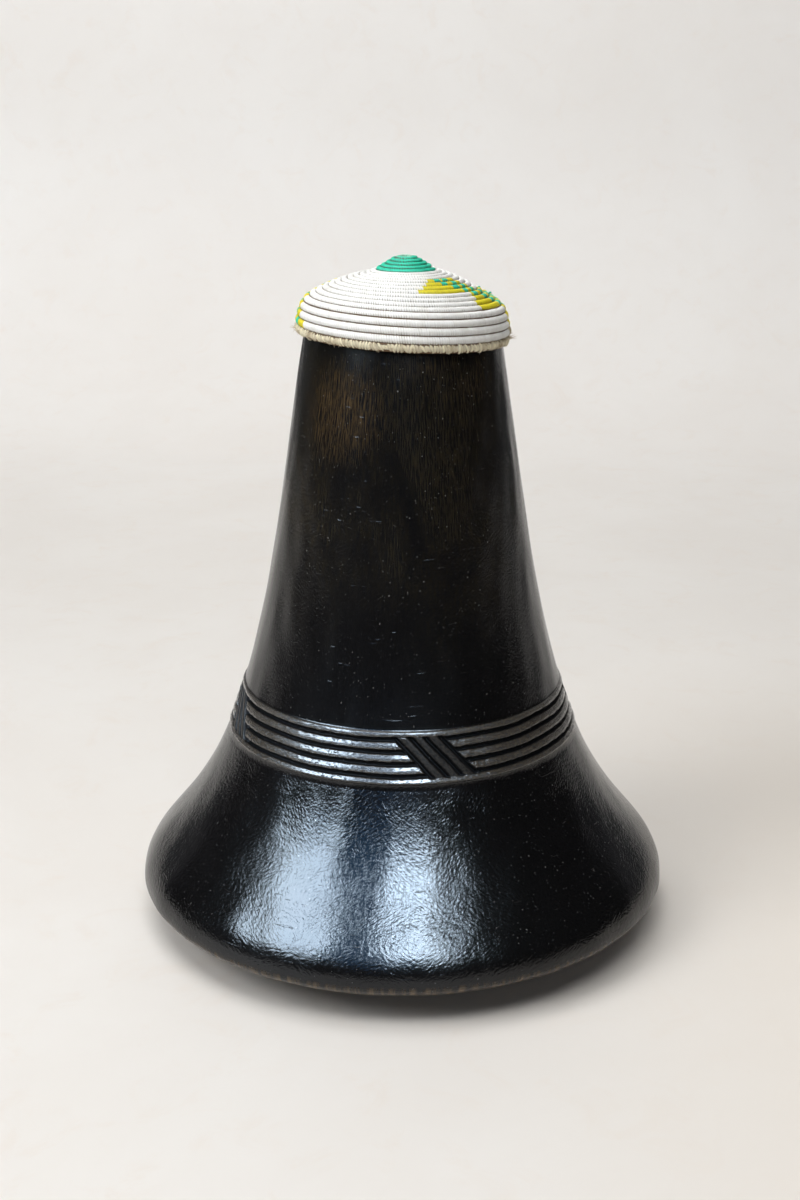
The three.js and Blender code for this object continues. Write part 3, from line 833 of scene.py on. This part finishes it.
def strand_material(name, strand, shade, grass, unevenness, openness, roughness, seam, tip_highlight_stitches=0):
    """Seam says where the painted seam shade begins across a row: one value, or two stitches and their
    values. The grass colour shows where stitches part and is also the colour of the painted seam shade.
    """
    material, tree, shader = new_material(name, Specular_IOR_Level=0.3)
    stitches = add(tree, "SeparateXYZ", {0: add(tree, "UVMap", uv_map="strand").outputs[0]}).outputs[0]
    if tip_highlight_stitches:
        # Painted highlight: the first stitches at the tip are paled towards this colour.
        tip_highlight = fade(tree, stitches, tip_highlight_stitches * 0.4, tip_highlight_stitches * 1.6, 0.6, 0.0)
        strand = mix_colours(tree, tip_highlight, strand, tip_highlight_colour)
    if isinstance(seam, tuple):
        seam = fade(tree, stitches, *seam)
    inputs = {"Strand": strand, "Shade": shade, "Grass And Shade": grass}
    inputs.update({"Unevenness": unevenness, "Openness": openness, "Seam": seam})
    made = place_group(tree, sewn, inputs)
    tree.links.new(made["Color"], shader.inputs["Base Color"])
    tree.links.new(fade(tree, made["Gaps And Seam Shade"], 0, 1, roughness, 0.95), shader.inputs["Roughness"])
    add_bump(tree, shader, made["Height"], 0.00016, 0.8)
    return material


# The brown of the grass where stitches part. It is also the colour of the painted seam shade.
grass_and_shade_brown = (0.10, 0.065, 0.04, 1)
white_strand = strand_material(
    "white_strand", (0.95, 0.955, 0.94, 1), (0.72, 0.69, 0.63, 1), grass_and_shade_brown,
    unevenness=0.34, openness=0.9, roughness=0.65, seam=(300, 1600, 0.70, 0.84))
green_strand = strand_material(
    "green_strand", (0.02, 0.72, 0.46, 1), (0.012, 0.44, 0.30, 1), grass_and_shade_brown,
    unevenness=0.5, openness=1.0, roughness=0.55, seam=0.55, tip_highlight_stitches=14)
yellow_strand = strand_material(
    "yellow_strand", (0.84, 0.74, 0.0, 1), (0.62, 0.52, 0.004, 1), grass_and_shade_brown,
    unevenness=0.45, openness=0.6, roughness=0.55, seam=0.78)
green_centre.data.materials.append(green_strand)
green_checks.data.materials.append(green_strand)
white_field.data.materials.append(white_strand)
for piece in yellow_pieces:
    piece.data.materials.append(yellow_strand)
light_blade = (0.24, 0.15, 0.08, 1)
dark_blade = (0.09, 0.05, 0.025, 1)
dry_grass, tree, shader = new_material("dry_grass", Roughness=0.85, Specular_IOR_Level=0.2)
blades = add(tree, "UVMap", uv_map="strand").outputs[0]
shades = stretched_noise(tree, blades, (0.4, 26, 1), 1, 3, 0.6)
tree.links.new(mix_colours(tree, shades, light_blade, dark_blade), shader.inputs["Base Color"])
grass.data.materials.append(dry_grass)


# The rim: the last turn, bound over and over with coarse undyed fibre, which
# thins to a short tail on the right where the maker stopped.
rim = sewn_coil(
    "rim_fibres", [(rim_start, stitch_total)], roughness=2.4, lumps=0.22, lean_spread=0.5, width=0.52)
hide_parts("lid_rim_binding")
# The rim's third colour, near black, is painted shade in the gaps between its fibres and along its seams.
rim_fibre = strand_material(
    "rim_fibre", (0.95, 0.89, 0.66, 1), (0.40, 0.31, 0.19, 1), (0.05, 0.035, 0.02, 1),
    unevenness=0.75, openness=1.1, roughness=0.85, seam=0.86)
rim.data.materials.append(rim_fibre)


# Loose ends: hairs of fibre that stand off the rim binding, a few longer tufts,
# and two small frayed ends of green strand on the right of the cone.
aslant = (0.31, 0.17, 0.94)
end_thinning = 0.75


def thin_tube(path, width, sides=5):
    """Corners and faces of a closed tube along a path, thinner towards its end."""
    path = np.array(path, float)
    count = len(path)
    direction = np.gradient(path, axis=0)
    direction /= np.linalg.norm(direction, axis=1)[:, None]
    side = np.cross(direction, aslant)
    side /= np.linalg.norm(side, axis=1)[:, None]
    other = np.cross(direction, side)
    angle = np.linspace(0, 2 * math.pi, sides, endpoint=False)
    thickness = width / 2 * (1 - end_thinning * np.linspace(0, 1, count)**2)
    ring = side[:, None] * np.cos(angle)[None, :, None] + other[:, None] * np.sin(angle)[None, :, None]
    corners = (path[:, None] + ring * thickness[:, None, None]).reshape(-1, 3)
    number = np.arange(count * sides).reshape(count, sides)
    onward = np.roll(number, -1, axis=1)
    faces = np.stack([number[:-1], number[1:], onward[1:], onward[:-1]], axis=2).reshape(-1, 4).tolist()
    return corners, [*faces, number[0].tolist(), number[-1][::-1].tolist()]


def loose_hair(azimuth, rows, length, upward, sideways, curl):
    """A path that leaves the coil at an azimuth and bends over by its curl."""
    spot, direction = on_meridian(np.array([rows]))
    angle = math.radians(azimuth)
    away = np.array([math.sin(angle), -math.cos(angle), 0])
    around = np.array([math.cos(angle), math.sin(angle), 0])
    start = away * (spot[0, 0] + coil_thickness / 2 - 0.5) + np.array([0, 0, spot[0, 1]])
    heading = away + around * sideways + np.array([0, 0, upward])
    heading = heading / np.linalg.norm(heading)
    share = np.linspace(0, 1, 6)[:, None]
    fall = np.array([0, 0, -1]) * curl + around * curl * 0.6
    return start + heading * length * share + fall * length * share**2


def hair_piece(name, hairs, width, material):
    corners = []
    faces = []
    total = 0
    for path in hairs:
        points, sides = thin_tube(path, width)
        faces += [[corner + total for corner in face] for face in sides]
        corners.append(points)
        total += len(points)
    piece = make_piece(name, lean_lid(np.vstack(corners)), faces)
    piece.data.materials.append(material)
    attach(piece, "lid")
    return piece


def loose_material(name, light, dark, scale, roughness):
    material, tree, shader = new_material(name, Roughness=roughness, Specular_IOR_Level=0.3)
    place = add(tree, "TexCoord").outputs["Object"]
    shades = stretched_noise(tree, place, (1, 1, 1), scale, 2, 0.6)
    tree.links.new(mix_colours(tree, shades, light, dark), shader.inputs["Base Color"])
    return material


loose_fibre = loose_material("loose_fibre", (0.66, 0.56, 0.38, 1), (0.30, 0.22, 0.13, 1), 300, 0.8)
hair_count = 240
hair_width = 0.22
tuft_hairs = 3
draw = np.random.default_rng(5)
rim_hairs = []
for _ in range(hair_count):
    rim_hairs.append(loose_hair(
        draw.uniform(0, 360), coil_turns - draw.uniform(0.1, 0.75), draw.uniform(0.9, 2.6),
        draw.uniform(-1.2, 0.7), draw.uniform(-1.4, 1.4), draw.uniform(-0.2, 0.35)))
for azimuth, rows, length, upward, sideways in (
        (-42, 21.9, 2.6, -0.3, 0.9), (-34, 21.9, 2.2, -0.5, 0.8), (84, 21.9, 5.5, 0.35, 0.8),
        (81, 21.8, 4.0, 0.9, 0.2), (-80, 21.6, 4.0, 0.5, -0.6), (-12, 21.9, 2.6, -0.8, 0.4)):
    for _ in range(tuft_hairs):
        rim_hairs.append(loose_hair(
            azimuth + draw.uniform(-1.5, 1.5), rows, length * draw.uniform(0.7, 1.0),
            upward + draw.uniform(-0.3, 0.3), sideways + draw.uniform(-0.3, 0.3), draw.uniform(0, 0.3)))
hair_piece("loose_rim_fibres", rim_hairs, hair_width, loose_fibre)

thread_green = loose_material("thread_green", (0.02, 0.56, 0.38, 1), (0.015, 0.34, 0.24, 1), 500, 0.55)
thread_width = 0.5
thread_curl = 0.35
thread_ends = []
for azimuth, rows, length, upward, sideways in ((94, 13.4, 2.2, 1.4, 0.1), (95, 15.2, 2.6, 1.2, 0.1)):
    for spread in (-0.7, -0.3, 0.0, 0.4, 0.8):
        thread_ends.append(loose_hair(
            azimuth, rows, length, upward + spread * 0.4, sideways + spread, thread_curl))
hair_piece("green_thread_ends", thread_ends, thread_width, thread_green)


# The stage: a pale plastered floor that sweeps up into a wall far behind. It is
# painted a little darker and browner on the right, as painted shade where the light
# from the left falls off and the jug's shadow lies. The wall glows faintly, more the
# farther back, where it is seen directly or in a shine.
def stage_sheet(name, rows):
    mesh = bpy.data.meshes.new(name)
    count = len(rows[0])
    faces = [(i * count + j, i * count + j + 1, (i + 1) * count + j + 1, (i + 1) * count + j)
             for i in range(len(rows) - 1) for j in range(count - 1)]
    mesh.from_pydata([spot for row in rows for spot in row], [], faces)
    mesh.polygons.foreach_set("use_smooth", [True] * len(mesh.polygons))
    piece = bpy.data.objects.new(name, mesh)
    bpy.context.scene.collection.objects.link(piece)
    return piece


def seen_directly(tree):
    """One where the camera sees a thing itself, in a shine or through glass, and otherwise nought."""
    rays = add(tree, "LightPath").outputs
    mirrored = calc(tree, "MAXIMUM", rays["Is Glossy Ray"], rays["Is Transmission Ray"])
    return calc(tree, "MAXIMUM", rays["Is Camera Ray"], mirrored)


floor_half = 1.7
sweep_start = 0.95
sweep_radius = 0.35
wall_top = 1.9
sweep = [(sweep_start + sweep_radius * math.sin(a), sweep_radius * (1 - math.cos(a)))
         for a in np.linspace(0, math.pi / 2, 17)]
outline = [(-floor_half, 0), *sweep, (sweep_start + sweep_radius, wall_top)]
floor = stage_sheet("floor_and_wall", [[(-floor_half, y, z), (floor_half, y, z)] for y, z in outline])
clean_plaster = (0.755, 0.738, 0.715, 1)
clouded_plaster = (0.73, 0.705, 0.675, 1)
mottled_plaster = (0.72, 0.67, 0.62, 1)
right_shade_plaster = (0.725, 0.68, 0.625, 1)
plaster, tree, shader = new_material("pale_plaster", Roughness=0.6, Specular_IOR_Level=0.15)
place = add(tree, "TexCoord").outputs["Object"]
clouds = stretched_noise(tree, place, (1, 1, 1), 5, 5, 0.6, 0.5)
mottle = stretched_noise(tree, place, (1, 1, 1), 34, 5, 0.65, 0.8)
colour = mix_colours(tree, fade(tree, clouds, 0.3, 0.7), clean_plaster, clouded_plaster)
colour = mix_colours(tree, fade(tree, mottle, 0.5, 0.75, 0.0, 0.5), colour, mottled_plaster)
sideways, backward = add(tree, "SeparateXYZ", {0: place}).outputs[:2]
# Painted shade: the floor is darkened on the right, where the light from the left falls off and the jug's
# shadow lies.
painted_right_shade = calc(tree, "MULTIPLY", fade(tree, sideways, 0.0, 0.26), fade(tree, backward, 0.45, 0.05))
colour = mix_colours(tree, painted_right_shade, colour, right_shade_plaster)
tree.links.new(colour, shader.inputs["Base Color"])
wall_glow = fade(tree, backward, 0.35, 1.3, 0.02, 0.16)
shader.inputs["Emission Color"].default_value = (1.0, 0.975, 0.96, 1)
tree.links.new(calc(tree, "MULTIPLY", wall_glow, seen_directly(tree)), shader.inputs["Emission Strength"])
floor.data.materials.append(plaster)


# The light: two soft lamps on the left and one in front fill the room, and two
# bright windows with a blue sky show only in the shine. Dark cloth round and over
# the stage, with a felt screen at each side, keeps the front of the jug black.
def soft_lamp(name, azimuth, elevation, distance, width, tall, strength, colour, only_in_shine=False):
    """A lamp turned to the jug. Its strength is how bright it looks, whatever its size."""
    light = bpy.data.lights.new(name, "AREA")
    light.shape = "RECTANGLE"
    light.size = width
    light.size_y = tall
    light.energy = strength * lamp_power * width * tall
    light.color = colour
    lamp = bpy.data.objects.new(name, light)
    a = math.radians(azimuth)
    e = math.radians(elevation)
    away = Vector((math.sin(a) * math.cos(e), -math.cos(a) * math.cos(e), math.sin(e)))
    lamp.location = lamp_target + away * distance
    lamp.rotation_euler = away.to_track_quat("Z", "Y").to_euler()
    lamp.visible_diffuse = not only_in_shine
    bpy.context.scene.collection.objects.link(lamp)


lamp_power = 4
lamp_target = Vector((0, 0, 0.06))
lamp_white = (1.0, 0.99, 0.975)
daylight = (0.68, 0.84, 1.0)
sky_blue = (0.1, 0.42, 1.0)
soft_lamp("overhead_lamp", -70, 78, 2.4, 1.4, 1.4, 2.6, lamp_white)
soft_lamp("left_lamp", -58, 40, 2.4, 1.2, 1.0, 6.0, lamp_white)
soft_lamp("front_lamp", 2, 60, 2.4, 1.2, 0.7, 6.3, lamp_white)
for name in ("left_lamp", "front_lamp"):
    bpy.data.objects[name].visible_glossy = False
soft_lamp("left_window", -56, 38, 2.0, 1.05, 0.98, 23, daylight, only_in_shine=True)
soft_lamp("front_window", 7.5, 43.5, 2.0, 0.74, 0.64, 38, daylight, only_in_shine=True)
soft_lamp("sky_haze", -27, 44, 2.2, 2.3, 1.4, 1.3, sky_blue, only_in_shine=True)


def round_sheet(name, radius, azimuths, levels):
    turns = np.radians(azimuths)
    return stage_sheet(name, [
        [(radius * math.sin(a), -radius * math.cos(a), z) for a in turns] for z in levels])


def show_only_in_shine(sheet):
    sheet.visible_camera = False
    sheet.visible_diffuse = False
    sheet.visible_shadow = False


curtain_radius = 2.5
curtain_top = 3.2
ceiling_half = 2.6
screen_radius = 1.25
screen_levels = (0.02, 1.6)
felt_grey = (0.11, 0.11, 0.115, 1)
curtain = round_sheet("dark_curtain", curtain_radius, np.linspace(-120, 120, 49), (0, curtain_top))
curtain.visible_camera = False
cloth, tree, shader = new_material(
    "curtain_cloth", Base_Color=(0.01, 0.01, 0.01, 1), Roughness=1.0, Specular_IOR_Level=0.0)
curtain.data.materials.append(cloth)
for side, nearest, farthest in (("left", -164, -116), ("right", 112, 143)):
    screen = round_sheet(f"{side}_screen", screen_radius, np.linspace(nearest, farthest, 9), screen_levels)
    show_only_in_shine(screen)
    felt, tree, shader = new_material(f"{side}_screen_felt", Base_Color=felt_grey, Roughness=1.0)
    screen.data.materials.append(felt)
ceiling_edges = (-ceiling_half, ceiling_half)
ceiling = stage_sheet("dark_ceiling", [[(x, y, curtain_top) for x in ceiling_edges] for y in ceiling_edges])
show_only_in_shine(ceiling)
ceiling.data.materials.append(cloth)

room_strength = 0.26
world = bpy.data.worlds.new("room")
bpy.context.scene.world = world
world.use_nodes = True
tree = world.node_tree
ground = tree.nodes["Background"]
pale = add(tree, "Background", {"Color": (0.82, 0.80, 0.78, 1), "Strength": 1.0})
ground.inputs["Color"].default_value = (1.0, 0.985, 0.96, 1)
ground.inputs["Strength"].default_value = room_strength
mixed = add(tree, "MixShader", {0: seen_directly(tree), 1: ground.outputs[0], 2: pale.outputs[0]})
tree.links.new(mixed.outputs[0], tree.nodes["World Output"].inputs[0])
